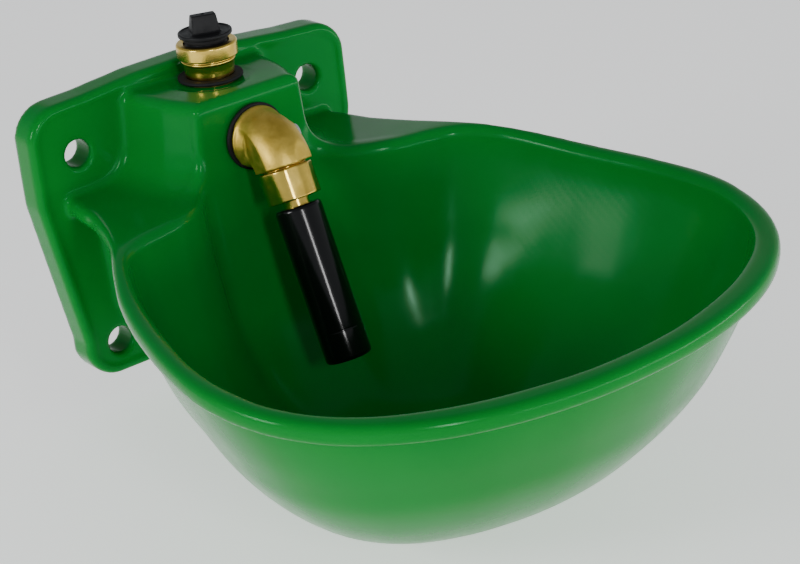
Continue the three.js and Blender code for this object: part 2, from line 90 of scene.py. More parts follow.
def poly_sd(A, B, poly):
    """Signed distance from the grid points (A, B) to a closed outline, negative inside."""
    shape = np.broadcast(A, B).shape
    a = np.broadcast_to(A, shape).astype(np.float32).ravel()
    b = np.broadcast_to(B, shape).astype(np.float32).ravel()
    P = np.array(poly, np.float32)
    best = np.full(a.shape, 1e12, np.float32)
    inside = np.zeros(a.shape, bool)
    for i in range(len(P)):
        (x0, y0), (x1, y1) = P[i], P[(i + 1) % len(P)]
        ex, ey = x1 - x0, y1 - y0
        L = ex * ex + ey * ey
        if L < 1e-12:
            continue
        wx, wy = a - x0, b - y0
        t = np.clip((wx * ex + wy * ey) / L, 0, 1)
        best = np.minimum(best, (wx - t * ex) ** 2 + (wy - t * ey) ** 2)
        if y0 != y1:
            cross = ((y0 <= b) != (y1 <= b)) & (a < x0 + (b - y0) / (y1 - y0) * ex)
            inside ^= cross
    d = np.sqrt(best)
    return np.where(inside, -d, d).reshape(shape).astype(np.float32)


# ------------------------------------------------------------------ distance fields
def smin(a, b, k):
    h = np.clip(0.5 + 0.5 * (b - a) / k, 0, 1)
    return b + (a - b) * h - k * h * (1 - h)


def smax(a, b, k):
    return -smin(-a, -b, k)


def ext(d2, dz, r):
    a, b = d2 + r, dz + r
    return np.minimum(np.maximum(a, b), 0) + np.hypot(np.maximum(a, 0), np.maximum(b, 0)) - r


def band(v, lo, hi):
    return np.abs(v - (lo + hi) / 2) - (hi - lo) / 2


def sample(F, P, lo, vox):
    q = (P - lo) / vox
    q = np.clip(q, 0, np.array(F.shape[:3]) - 1.001)
    i = q.astype(int)
    f = q - i
    out = 0
    for dx in (0, 1):
        for dy in (0, 1):
            for dz in (0, 1):
                w = (f[:, 0] if dx else 1 - f[:, 0]) * (f[:, 1] if dy else 1 - f[:, 1]) * (f[:, 2] if dz else 1 - f[:, 2])
                v = F[i[:, 0] + dx, i[:, 1] + dy, i[:, 2] + dz]
                out = out + (v * w if v.ndim == 1 else v * w[:, None])
    return out


def field_mesh(name, fn, lo, hi, vox, adaptivity=0.0, matrix=None, soften=0):
    """Meshes fn(X, Y, Z) <= 0 over a box in millimetres, with the field's own normals."""
    lo, hi = np.array(lo, float), np.array(hi, float)
    n = np.ceil((hi - lo) / vox).astype(int) + 1
    ax = [(lo[k] + vox * np.arange(n[k])).astype(np.float32) for k in range(3)]
    X, Y, Z = ax[0][:, None, None], ax[1][None, :, None], ax[2][None, None, :]
    F = np.ascontiguousarray(np.broadcast_to(fn(X, Y, Z), tuple(n))).astype(np.float32)
    F = np.clip(F, -4 * vox, 4 * vox)
    for _ in range(soften):
        for k in range(3):
            F = (np.roll(F, 1, k) + 2 * F + np.roll(F, -1, k)) / 4
    grid = vdb.FloatGrid(4 * vox)
    grid.copyFromArray(F)
    grid.gridClass = vdb.GridClass.LEVEL_SET
    pts, tris, quads = grid.convertToPolygons(0.0, adaptivity)
    P = pts.astype(float) * vox + lo
    g = np.stack(np.gradient(F, vox), -1)
    for _ in range(2):
        G = sample(g, P, lo, vox)
        L = np.linalg.norm(G, axis=1)
        L[L < 1e-6] = 1
        d = sample(F, P, lo, vox) / L
        P -= (G / L[:, None]) * np.clip(d, -0.3 * vox, 0.3 * vox)[:, None]
    G = sample(g, P, lo, vox)
    L = np.linalg.norm(G, axis=1)
    L[L < 1e-6] = 1
    N = G / L[:, None]
    faces = [list(map(int, q)) for q in quads] + [list(map(int, t)) for t in tris]
    # faces must turn the way the field's gradient points
    f0 = np.array([f[:3] for f in faces])
    fn_ = np.cross(P[f0[:, 1]] - P[f0[:, 0]], P[f0[:, 2]] - P[f0[:, 0]])
    if np.sum((fn_ * N[f0[:, 0]]).sum(1) < 0) > len(faces) / 2:
        faces = [f[::-1] for f in faces]
    me = bpy.data.meshes.new(name)
    if matrix is not None:
        M = np.array(matrix)
        P = P @ M[:3, :3].T + M[:3, 3]
        N = N @ M[:3, :3].T
    me.from_pydata((P * MM).tolist(), [], faces)
    me.validate(clean_customdata=False)
    me.shade_smooth()
    me.update()
    if len(me.vertices) == len(N):
        me.normals_split_custom_set_from_vertices(N.tolist())
    ob = bpy.data.objects.new(name, me)
    scene.collection.objects.link(ob)
    return ob


# ------------------------------------------------------------------ turned pieces
def round_profile(points, n=4):
    """points: [r, z] or [r, z, fillet]; returns the outline with rounded corners."""
    out = []
    for i, p in enumerate(points):
        f = p[2] if len(p) > 2 else 0
        c = Vector((p[0], p[1]))
        if f <= 0 or i == 0 or i == len(points) - 1:
            out.append((c.x, c.y))
            continue
        a, b = Vector(points[i - 1][:2]), Vector(points[i + 1][:2])
        u, v = (a - c), (b - c)
        d = min(f, u.length * 0.48, v.length * 0.48)
        s, e = c + u.normalized() * d, c + v.normalized() * d
        for j in range(n + 1):
            t = j / n
            q = s * (1 - t) ** 2 + c * 2 * t * (1 - t) + e * t * t
            out.append((q.x, q.y))
    return out


def lathe(name, points, matrix, segments=96, closed=True, cap=None, smooth_angle=38):
    prof = round_profile(points + [points[0]] if closed else points)
    if closed:
        prof = prof[:-1]
    bm = bmesh.new()
    rings = []
    for r, z in prof:
        if r < 1e-5:
            rings.append([bm.verts.new((0, 0, z))])
        else:
            rings.append([bm.verts.new((r * math.cos(2 * math.pi * i / segments), r * math.sin(2 * math.pi * i / segments), z)) for i in range(segments)])
    m = len(rings)
    for k in range(m if closed else m - 1):
        A, B = rings[k], rings[(k + 1) % m]
        if len(A) == 1 and len(B) == 1:
            continue
        for i in range(segments):
            j = (i + 1) % segments
            if len(A) == 1:
                bm.faces.new((A[0], B[j], B[i]))
            elif len(B) == 1:
                bm.faces.new((A[i], A[j], B[0]))
            else:
                bm.faces.new((A[i], A[j], B[j], B[i]))
    bmesh.ops.remove_doubles(bm, verts=bm.verts, dist=1e-5)
    bmesh.ops.recalc_face_normals(bm, faces=bm.faces)
    me = bpy.data.meshes.new(name)
    bm.to_mesh(me)
    bm.free()
    me.transform(Matrix.Scale(MM, 4) @ matrix)
    me.shade_smooth()
    me.set_sharp_from_angle(angle=rad(smooth_angle))
    ob = bpy.data.objects.new(name, me)
    scene.collection.objects.link(ob)
    return ob


# ------------------------------------------------------------------ materials
def mat(name):
    m = bpy.data.materials.new(name)
    m.use_nodes = True
    nt = m.node_tree
    nt.nodes.clear()
    out = nt.nodes.new("ShaderNodeOutputMaterial")
    bsdf = nt.nodes.new("ShaderNodeBsdfPrincipled")
    nt.links.new(bsdf.outputs[0], out.inputs[0])
    co = nt.nodes.new("ShaderNodeTexCoord")
    return m, nt, bsdf, co


def noise(nt, co, scale, detail=4, rough=0.5, stretch=None, distort=0.0):
    n = nt.nodes.new("ShaderNodeTexNoise")
    n.inputs["Scale"].default_value = scale
    n.inputs["Detail"].default_value = detail
    n.inputs["Roughness"].default_value = rough
    n.inputs["Distortion"].default_value = distort
    if stretch:
        mp = nt.nodes.new("ShaderNodeMapping")
        mp.inputs["Scale"].default_value = stretch[:3]
        if len(stretch) > 3:
            mp.inputs["Rotation"].default_value = stretch[3:6]
        nt.links.new(co.outputs["Object"], mp.inputs["Vector"])
        nt.links.new(mp.outputs[0], n.inputs["Vector"])
    else:
        nt.links.new(co.outputs["Object"], n.inputs["Vector"])
    return n


def ramp(nt, src, stops):
    r = nt.nodes.new("ShaderNodeValToRGB")
    e = r.color_ramp.elements
    while len(e) < len(stops):
        e.new(0.5)
    for k, (p, c) in enumerate(stops):
        e[k].position = p
        e[k].color = c if len(c) == 4 else (*c, 1)
    nt.links.new(src, r.inputs[0])
    return r


def to_range(nt, src, lo, hi, a=0.0, b=1.0):
    m = nt.nodes.new("ShaderNodeMapRange")
    m.inputs["From Min"].default_value = a
    m.inputs["From Max"].default_value = b
    m.inputs["To Min"].default_value = lo
    m.inputs["To Max"].default_value = hi
    nt.links.new(src, m.inputs["Value"])
    return m


def bump(nt, bsdf, layers):
    """layers: (height socket, distance in metres, strength)"""
    prev = None
    for src, dist, strength in layers:
        b = nt.nodes.new("ShaderNodeBump")
        b.inputs["Distance"].default_value = dist
        b.inputs["Strength"].default_value = strength
        nt.links.new(src, b.inputs["Height"])
        if prev is not None:
            nt.links.new(prev.outputs[0], b.inputs["Normal"])
        prev = b
    nt.links.new(prev.outputs[0], bsdf.inputs["Normal"])


def mix(nt, fac, a, b, kind="MIX"):
    m = nt.nodes.new("ShaderNodeMix")
    m.data_type = "RGBA"
    m.blend_type = kind
    m.clamp_result = True
    if isinstance(fac, (int, float)):
        m.inputs[0].default_value = fac
    else:
        nt.links.new(fac, m.inputs[0])
    for k, v in ((6, a), (7, b)):
        if isinstance(v, tuple):
            m.inputs[k].default_value = v if len(v) == 4 else (*v, 1)
        else:
            nt.links.new(v, m.inputs[k])
    return m


def green_plastic():
    m, nt, b, co = mat("bowl_green_plastic")
    big = noise(nt, co, 9, 3, 0.5)
    flow = noise(nt, co, 30, 5, 0.6, (1.0, 0.45, 1.0), 0.4)
    base = ramp(nt, big.outputs["Fac"], [(0.3, (0.0, 0.185, 0.019)), (0.7, (0.0, 0.225, 0.027))])
    tint = ramp(nt, flow.outputs["Fac"], [(0.35, (0.93, 0.93, 0.93)), (0.65, (1.0, 1.0, 1.0))])
    col = mix(nt, 0.8, base.outputs[0], tint.outputs[0], "MULTIPLY")
    speck = noise(nt, co, 900, 2, 0.5)
    sp = ramp(nt, speck.outputs["Fac"], [(0.70, (0, 0, 0)), (0.78, (1, 1, 1))])
    col2 = mix(nt, to_range(nt, sp.outputs[0], 0, 0.10).outputs[0], col.outputs[2], (0.004, 0.24, 0.05))
    nt.links.new(col2.outputs[2], b.inputs["Base Color"])
    rg = noise(nt, co, 60, 5, 0.6)
    nt.links.new(to_range(nt, rg.outputs["Fac"], 0.13, 0.24, 0.3, 0.7).outputs[0], b.inputs["Roughness"])
    b.inputs["IOR"].default_value = 1.49
    b.inputs["Specular IOR Level"].default_value = 0.15
    b.inputs["Specular Tint"].default_value = (0.5, 1.0, 0.7, 1)
    b.inputs["Subsurface Weight"].default_value = 0.06
    b.inputs["Subsurface Radius"].default_value = (0.2, 1.0, 0.35)
    b.inputs["Subsurface Scale"].default_value = 0.002
    peel = noise(nt, co, 220, 3, 0.5)
    wave = noise(nt, co, 24, 2, 0.4)
    bump(nt, b, [(wave.outputs["Fac"], 0.0006, 0.12), (peel.outputs["Fac"], 0.00006, 0.22)])
    return m


def brass(name, cast=False, axis="Z", lean=0.0):
    m, nt, b, co = mat(name)
    b.inputs["Metallic"].default_value = 1.0
    mott = noise(nt, co, 130 if cast else 90, 6, 0.65)
    if cast:
        base = ramp(nt, mott.outputs["Fac"], [(0.28, (0.56, 0.37, 0.055)), (0.47, (0.66, 0.45, 0.075)), (0.62, (0.72, 0.51, 0.10)), (0.8, (0.62, 0.41, 0.065))])
    else:
        base = ramp(nt, mott.outputs["Fac"], [(0.30, (0.60, 0.41, 0.070)), (0.5, (0.70, 0.49, 0.095)), (0.75, (0.76, 0.55, 0.13))])
    tarn = noise(nt, co, 38, 4, 0.6, None, 0.3)
    tm = ramp(nt, tarn.outputs["Fac"], [(0.52, (0, 0, 0)), (0.72, (1, 1, 1))])
    col = mix(nt, to_range(nt, tm.outputs[0], 0, 0.12 if cast else 0.10).outputs[0], base.outputs[0], (0.30, 0.155, 0.035))
    nt.links.new(col.outputs[2], b.inputs["Base Color"])
    r = noise(nt, co, 260, 5, 0.6)
    lo, hi = (0.38, 0.52) if cast else (0.17, 0.27)
    nt.links.new(to_range(nt, r.outputs["Fac"], lo, hi, 0.3, 0.7).outputs[0], b.inputs["Roughness"])
    layers = []
    if cast:
        c1 = noise(nt, co, 420, 5, 0.6)
        c2 = noise(nt, co, 95, 3, 0.5)
        layers = [(c2.outputs["Fac"], 0.0004, 0.16), (c1.outputs["Fac"], 0.00014, 0.9)]
    else:
        # turning marks: fine rings along the axis
        st = {"Z": (40, 40, 9000), "V": (40, 40, 9000, lean, 0, 0)}[axis]
        w = noise(nt, co, 1.0, 2, 0.6, st)
        c = noise(nt, co, 500, 3, 0.5)
        layers = [(w.outputs["Fac"], 0.00003, 0.3), (c.outputs["Fac"], 0.00002, 0.2)]
    bump(nt, b, layers)
    return m


def rubber():
    m, nt, b, co = mat("rubber_black")
    a = noise(nt, co, 300, 4, 0.6)
    base = ramp(nt, a.outputs["Fac"], [(0.3, (0.004, 0.004, 0.0045)), (0.7, (0.010, 0.010, 0.011))])
    nt.links.new(base.outputs[0], b.inputs["Base Color"])
    r = noise(nt, co, 150, 4, 0.6)
    nt.links.new(to_range(nt, r.outputs["Fac"], 0.55, 0.8, 0.3, 0.7).outputs[0], b.inputs["Roughness"])
    b.inputs["Specular IOR Level"].default_value = 0.25
    g = noise(nt, co, 900, 3, 0.6)
    bump(nt, b, [(g.outputs["Fac"], 0.00008, 0.5)])
    return m


def plug_plastic():
    m, nt, b, co = mat("plug_plastic")
    a = noise(nt, co, 120, 5, 0.6)
    base = ramp(nt, a.outputs["Fac"], [(0.3, (0.005, 0.005, 0.006)), (0.55, (0.009, 0.009, 0.010)), (0.8, (0.016, 0.016, 0.017))])
    nt.links.new(base.outputs[0], b.inputs["Base Color"])
    r = noise(nt, co, 220, 4, 0.6)
    nt.links.new(to_range(nt, r.outputs["Fac"], 0.36, 0.55, 0.3, 0.7).outputs[0], b.inputs["Roughness"])
    b.inputs["Specular IOR Level"].default_value = 0.18
    g = noise(nt, co, 1100, 3, 0.6)
    w = noise(nt, co, 160, 3, 0.5)
    bump(nt, b, [(w.outputs["Fac"], 0.00025, 0.3), (g.outputs["Fac"], 0.00006, 0.5)])
    return m


def tube_black():
    m, nt, b, co = mat("tube_black")
    a = noise(nt, co, 45, 4, 0.5, (1, 1, 0.25))
    base = ramp(nt, a.outputs["Fac"], [(0.35, (0.0015, 0.0015, 0.002)), (0.65, (0.0035, 0.0035, 0.004))])
    nt.links.new(base.outputs[0], b.inputs["Base Color"])
    r = noise(nt, co, 80, 5, 0.6, (1, 1, 0.3))
    nt.links.new(to_range(nt, r.outputs["Fac"], 0.09, 0.19, 0.3, 0.7).outputs[0], b.inputs["Roughness"])
    b.inputs["Specular IOR Level"].default_value = 0.30
    g = noise(nt, co, 260, 3, 0.6)
    long = noise(nt, co, 1, 3, 0.5, (420, 420, 18, rad(22), 0, 0))
    bump(nt, b, [(long.outputs["Fac"], 0.00008, 0.2), (g.outputs["Fac"], 0.00007, 0.2)])
    return m


def steel():
    m, nt, b, co = mat("steel_wire")
    b.inputs["Metallic"].default_value = 1.0
    a = noise(nt, co, 200, 4, 0.6)
    base = ramp(nt, a.outputs["Fac"], [(0.3, (0.42, 0.43, 0.44)), (0.7, (0.60, 0.61, 0.62))])
    nt.links.new(base.outputs[0], b.inputs["Base Color"])
    nt.links.new(to_range(nt, a.outputs["Fac"], 0.22, 0.4, 0.3, 0.7).outputs[0], b.inputs["Roughness"])
    g = noise(nt, co, 1400, 3, 0.6)
    bump(nt, b, [(g.outputs["Fac"], 0.00003, 0.4)])
    return m


def screw_pale():
    m, nt, b, co = mat("screw_pale")
    a = noise(nt, co, 160, 4, 0.6)
    base = ramp(nt, a.outputs["Fac"], [(0.3, (0.40, 0.42, 0.43)), (0.7, (0.58, 0.60, 0.61))])
    nt.links.new(base.outputs[0], b.inputs["Base Color"])
    nt.links.new(to_range(nt, a.outputs["Fac"], 0.35, 0.5, 0.3, 0.7).outputs[0], b.inputs["Roughness"])
    g = noise(nt, co, 800, 3, 0.6)
    bump(nt, b, [(g.outputs["Fac"], 0.00004, 0.4)])
    return m


GREEN = green_plastic()
BRASS = brass("turned_brass")
BRASS_V = brass("turned_brass_leaning", axis="V", lean=rad(22))
CAST = brass("cast_brass", cast=True)
RUBBER = rubber()
PLUG = plug_plastic()
TUBE = tube_black()
STEEL = steel()
PALE = screw_pale()


def finish_piece(ob, material, body, node):
    ob.data.materials.clear()
    ob.data.materials.append(material)
    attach(ob, body)
    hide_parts(node)
    return ob


# ------------------------------------------------------------------ shared dimensions, mm
RIM_Z = [[0, -1.9], [13, -1.7], [30, -1.0], [47, -0.1], [60, 0.7], [72, 1.3], [83, 1.1], [93, 0.1], [103, -1.4], [113.5, -2.8], [124, -3.9], [135, -4.6], [146, -5.2], [158, -5.8], [170, -6.4], [183, -7.1], [196, -8.3], [210, -9.4], [226, -10.6], [242, -11.5], [259, -12.0]]
OUT = [[62, 13], [64, 22], [65.3, 30], [66.6, 38], [69.5, 47], [74.2, 60], [79.6, 72], [85.4, 82.6], [91, 93], [96.2, 103], [100.4, 113.5], [103.9, 124], [107, 135], [109.8, 146], [112.2, 158], [113.9, 170], [114.2, 181], [112.6, 192], [108.9, 204], [102.5, 216], [93.5, 227], [82, 236.5], [68, 244.8], [52, 251.3], [35, 255.8], [18, 258.3], [0, 259]]
IN = [[0, 51.2], [12, 51.2], [20, 51.5], [25.5, 53.4], [29, 56.3], [32.5, 60.2], [37, 64.6], [43, 68.8], [50, 72.2], [58, 74.3], [66, 76.2], [73, 79.4], [78.6, 84.2], [83.2, 90.5], [87.4, 99], [91.3, 109], [94.5, 119], [97.4, 129.3], [100.1, 139.5], [102.7, 150], [104.8, 161], [105.9, 172.6], [105.4, 184.5], [102.9, 196], [98, 206.8], [90.6, 216.8], [81, 225.3], [69, 232.6], [54, 239.3], [37, 244.3], [19, 247.9], [0, 249]]
PROFILE = [[0.0, 1.0, 1.0], [0.05, 0.997, 0.997], [0.13, 0.982, 0.99], [0.25, 0.945, 0.976], [0.37, 0.9, 0.956], [0.49, 0.85, 0.934], [0.6, 0.785, 0.904], [0.7, 0.71, 0.863], [0.79, 0.625, 0.815], [0.87, 0.52, 0.737], [0.93, 0.415, 0.649], [0.97, 0.3, 0.537], [0.992, 0.17, 0.35], [1.0, 0.0, 0.0]]
CY, FLOOR_Z, WALL = -151.0, -94.0, 4.0
RZ = spline(RIM_Z, 6)
rim_z = lambda y: np.interp(-np.asarray(y, float), RZ[:, 0], RZ[:, 1]).astype(np.float32)

out_half = spline(OUT + [[-18, 258.3]], 5)
out_half = out_half[out_half[:, 0] >= 0]
OUTLINE = np.array(mirrored([[0, 5], [61, 5]] + out_half.tolist()))
in_half = spline([[-12, 51.2]] + IN + [[-19, 247.9]], 5)
in_half = in_half[in_half[:, 0] >= -1e-6]
ang = np.arctan2(in_half[:, 0], in_half[:, 1] + CY)
rr = np.hypot(in_half[:, 0], in_half[:, 1] + CY)
o = np.argsort(ang)
ang, rr = ang[o], rr[o]

plate_half = [[0, 38.0], [24, 37.4], [47, 35.2], [59.6, 34.6]] + arc(59.4, 20.6, 14, 80, 10, 10) + [[73.4, 8], [73.4, -3.5], [70.2, -22.5], [66, -46.9], [63.2, -63]] + arc(49.6, -65.3, 14, -12, -82, 10) + [[0, -79.3]]
PLATE = mirrored(plate_half)
neck_half = [[0, -3], [50.2, -3], [49.6, -13], [47.2, -47], [43.6, -58], [37, -67], [26, -73.2], [12, -75.4], [0, -75.6]]
NECK = mirrored(neck_half)
dome_half = [[36.0, -3], [35.0, -13], [32.6, -26], [31.0, -34], [29.6, -38.5]] + arc(23.1, -47.8, 3.2, 15, -90, 8) + [[0, -51]]
DOME = mirrored(dome_half)
dome_hollow = mirrored([[29.4, 1], [28.6, -17], [27.0, -26], [25.2, -34], [23.4, -38.5], [21.2, -43.5], [19.5, -46.2], [0, -46.2]])
DOME_TOP = 31.6
INLET_Y = -25.8
OUTLET_Z = 13.75
HOLES = [(s * x, z) for x, z in ((53.8, 13.8), (48.4, -65.7)) for s in (-1, 1)]


def cavity_field(lo, n, vox):
    A, K = 240, 5
    a = np.linspace(-math.pi, math.pi, A, endpoint=False)
    R = np.interp(np.abs(a), ang, rr)
    yr = CY - R * np.cos(a)
    zr = rim_z(yr).astype(float)
    prof = spline(PROFILE[:-1] + [[1.0, 0.0, 0.0], [0.992, -0.17, -0.35]], K)
    prof = prof[: (len(PROFILE) - 1) * K + 1]
    t = np.clip((math.pi - np.abs(a) - rad(22)) / rad(58), 0, 1)
    w = t * t * (3 - 2 * t)
    V, Q = [], []
    rows = [(R, np.full(A, 70.0)), (R, np.full(A, 40.0)), (R, zr + 12)]
    for h, ks, kr in prof[:-1]:
        rows.append((R * (kr + (ks - kr) * w), zr * (1 - h) + FLOOR_Z * h))
    for r, z in rows:
        V.append(np.stack([r * np.sin(a), CY - r * np.cos(a), z], -1))
    V = np.concatenate(V)
    m = len(rows)
    top, bot = len(V), len(V) + 1
    V = np.concatenate([V, [[0, CY, 70.0], [0, CY, FLOOR_Z]]])
    T = []
    for k in range(m - 1):
        for i in range(A):
            j = (i + 1) % A
            T += [(k * A + i, k * A + j, (k + 1) * A + j), (k * A + i, (k + 1) * A + j, (k + 1) * A + i)]
    for i in range(A):
        j = (i + 1) % A
        T += [(top, j, i), (bot, (m - 1) * A + i, (m - 1) * A + j)]
    hw = 14.0
    g = vdb.FloatGrid.createLevelSetFromPolygons(((V - lo) / vox).astype(np.float32), triangles=np.array(T, np.uint32), transform=vdb.createLinearTransform(voxelSize=1.0), halfWidth=hw / vox)
    F = np.zeros(tuple(n), np.float32)
    g.copyToArray(F)
    return F * vox


def body_field(X, Y, Z):
    lo = np.array([X[0, 0, 0], Y[0, 0, 0], Z[0, 0, 0]], float)
    vox = float(X[1, 0, 0] - X[0, 0, 0])
    n = (X.shape[0], Y.shape[1], Z.shape[2])
    cav = cavity_field(lo, n, vox)
    rz = rim_z(Y[0, :, 0])[None, :, None]
    flange = ext(poly_sd(X[:, :, 0], -Y[:, :, 0], OUTLINE)[:, :, None], np.abs(Z - (rz - 3.6)) - 3.6, 2.7)
    flange = np.maximum(flange, Y + 8)
    d_plate = poly_sd(X[:, 0, :], Z[:, 0, :], PLATE)[:, None, :]
    plate = ext(d_plate, np.where(Y > -6.6, -6.6, -Y - 13.2), 2.6)
    plate = smax(plate, -ext(d_plate + 4.6, Y + 13.0, 0.3), 2.4)
    shell = smax(cav - WALL, Z - (rz - 3.0), 1.5)
    neck = np.maximum(poly_sd(X[:, 0, :], Z[:, 0, :], NECK)[:, None, :], band(Y, -80, -7))
    # the dome narrows upwards: look its outline's distance up at the scaled place
    gx = np.arange(0, 130, 0.5, dtype=np.float32)
    base = poly_sd(gx[:, None], Y[0, :, 0][None, :], DOME)
    d_dome = np.full((n[0], n[1], n[2]), 20, np.float32)
    for k in range(n[2]):
        z = float(Z[0, 0, k])
        if -12 <= z <= 44:
            ix = np.clip(np.abs(X[:, 0, 0]) / (1 - 0.0026 * max(z, 0)) / 0.5, 0, len(gx) - 1.001)
            i0 = ix.astype(int)
            fx = (ix - i0)[:, None]
            d_dome[:, :, k] = (base[i0] * (1 - fx) + base[i0 + 1] * fx) * 0.97
    dome = ext(d_dome, band(Z, -8, DOME_TOP), 4.0)
    upper = smin(flange, dome, 15.0)
    lower = smin(smin(neck, shell, 7.0), upper, 3.0)
    body = smin(plate, lower, 3.2)
    # wall behind the scoop round the inlet
    inlet = np.hypot(X, Y - INLET_Y)
    body = smin(body, np.maximum(np.maximum(inlet - 17.2, band(Z, 26, 50)), np.maximum(d_plate + 1.2, band(Y, -PLATE_IN, 0))), 1.0)
    body = smax(body, -cav, 4.0)
    # hollows behind
    body = smax(body, -np.maximum(d_plate + 3.0, -Y - 8.7), 1.0)
    tubes = 1e3
    for x, z in HOLES:
        tubes = np.minimum(tubes, np.hypot(X - x, Z - z) - 8.2)
    body = np.minimum(body, np.maximum(tubes, band(Y, -11.0, 0)))
    hollow = np.maximum(np.maximum(poly_sd(X[:, 0, :], Z[:, 0, :], NECK)[:, None, :] + 3.6, band(Y, -77, 4)), -(cav - WALL - 1.0))
    body = smax(body, -hollow, 1.2)
    dh = np.maximum(poly_sd(X[:, :, 0], Y[:, :, 0], dome_hollow)[:, :, None], band(Z, -24, DOME_TOP - 3.7))
    body = smax(body, -np.maximum(dh, -(cav - WALL)), 1.2)
    for x, z in HOLES:
        body = smax(body, -np.maximum(np.hypot(X - x, Z - z) - 5.5, -16 - Y), 0.9)
    # scoop and bores
    body = smax(body, -np.maximum(inlet - 14.6, DOME_TOP - Z), 1.6)
    body = np.maximum(body, -np.maximum(inlet - 9.25, band(Z, 20, 42)))
    body = np.maximum(body, -np.maximum(np.hypot(X, Z - OUTLET_Z) - 8.6, band(Y, -56, -40)))
    return smax(body, Y + 0 * body, 1.2)


PLATE_IN = 10.7
body = field_mesh("bowl_moulding", body_field, (-119, -264, -103), (119, 4, 43), 1.25, 0.0)
finish_piece(body, GREEN, "bowl", "bowl_body")

# ------------------------------------------------------------------ inlet
INLET = Matrix.Translation((0, INLET_Y, 0))
socket = lathe("socket_turned", [
    [8.8, 46.1, 0.2], [9.2, 46.4, 0.2], [11.15, 46.4, 0.4], [11.7, 45.8, 0.4], [11.7, 41.1, 0.4], [11.3, 40.75, 0.3],
    [10.1, 40.6, 0.25], [10.0, 40.1, 0.2], [10.45, 39.75, 0.25], [10.45, 39.1, 0.3], [10.05, 38.7, 0.4], [9.6, 36.4, 0.5], [9.5, 34.4, 0.3], [9.4, 33.65, 0.1], [8.9, 33.6], [8.9, 18.2], [6.6, 18.2], [6.6, 29.6], [8.1, 29.6], [8.1, 33.6], [8.8, 34.6],
], INLET)
finish_piece(socket, BRASS, "bowl", "inlet_socket")
gasket = lathe("inlet_gasket_ring", [[9.3, 31.9], [12.35, 31.9, 0.4], [12.65, 32.5, 0.5], [12.35, 33.3, 0.4], [9.3, 33.3]], INLET)
finish_piece(gasket, RUBBER, "bowl", "inlet_gasket")
pseal = lathe("plug_seal_ring", [[7.9, 46.9], [8.35, 46.75, 0.3], [8.62, 47.5, 0.4], [8.35, 48.4, 0.3], [7.9, 48.4]], INLET)
finish_piece(pseal, RUBBER, "plug_washer", "plug_seal")


def plug_field(X, Y, Z):
    r = np.hypot(X, Y)
    flange = ext(r - 10.35, band(Z, 48.8, 50.4), 0.4)
    flange = smax(flange, -ext(r - 9.3, 50.0 - Z, 0.2), 0.35)
    thread = np.maximum(r - 8.4 + 0.9 * np.clip((Z - 45.6) / 0.8, 0, 1), band(Z, 36.4, 49.2))
    t = np.clip((Z - 49.6) / 7.2, 0, 1)
    c, q = math.cos(rad(-20.5)), math.sin(rad(-20.5))
    u, v = X * c + Y * q, -X * q + Y * c
    sq = smax(np.abs(u) - (5.6 - 0.9 * t), np.abs(v) - (3.5 - 1.4 * t), 0.5)
    head = ext(sq, band(Z, 49, 56.8), 0.35)
    f = smin(smin(flange, thread, 0.3), head, 0.8)
    f = smax(f, -(np.sqrt(u ** 2 + v ** 2 + (Z - 57.2) ** 2) - 0.85), 0.25)
    return np.maximum(f, -np.maximum(r - 5.6, band(Z, 30, 45)))


plug = field_mesh("plug_moulded", plug_field, (-11.1, -11.1, 35.8), (11.1, 11.1, 57.6), 0.25, 0.0, Matrix.Translation((0, INLET_Y, 0)))
finish_piece(plug, PLUG, "plug", "transport_plug")

# ------------------------------------------------------------------ outlet and valve
TILT = rad(22)
VALVE = Vector((0, -68.2, 5.6))
VM = Matrix.Translation(VALVE) @ Matrix.Rotation(-TILT, 4, "X")
OUTM = Matrix.Translation((0, 0, OUTLET_Z)) @ Matrix.Rotation(rad(90), 4, "X")
ogasket = lathe("outlet_gasket_ring", [[8.7, 51.3], [12.75, 51.3, 0.4], [13.05, 51.9, 0.5], [12.75, 52.7, 0.4], [8.7, 52.7]], OUTM)
finish_piece(ogasket, RUBBER, "bowl", "outlet_gasket")


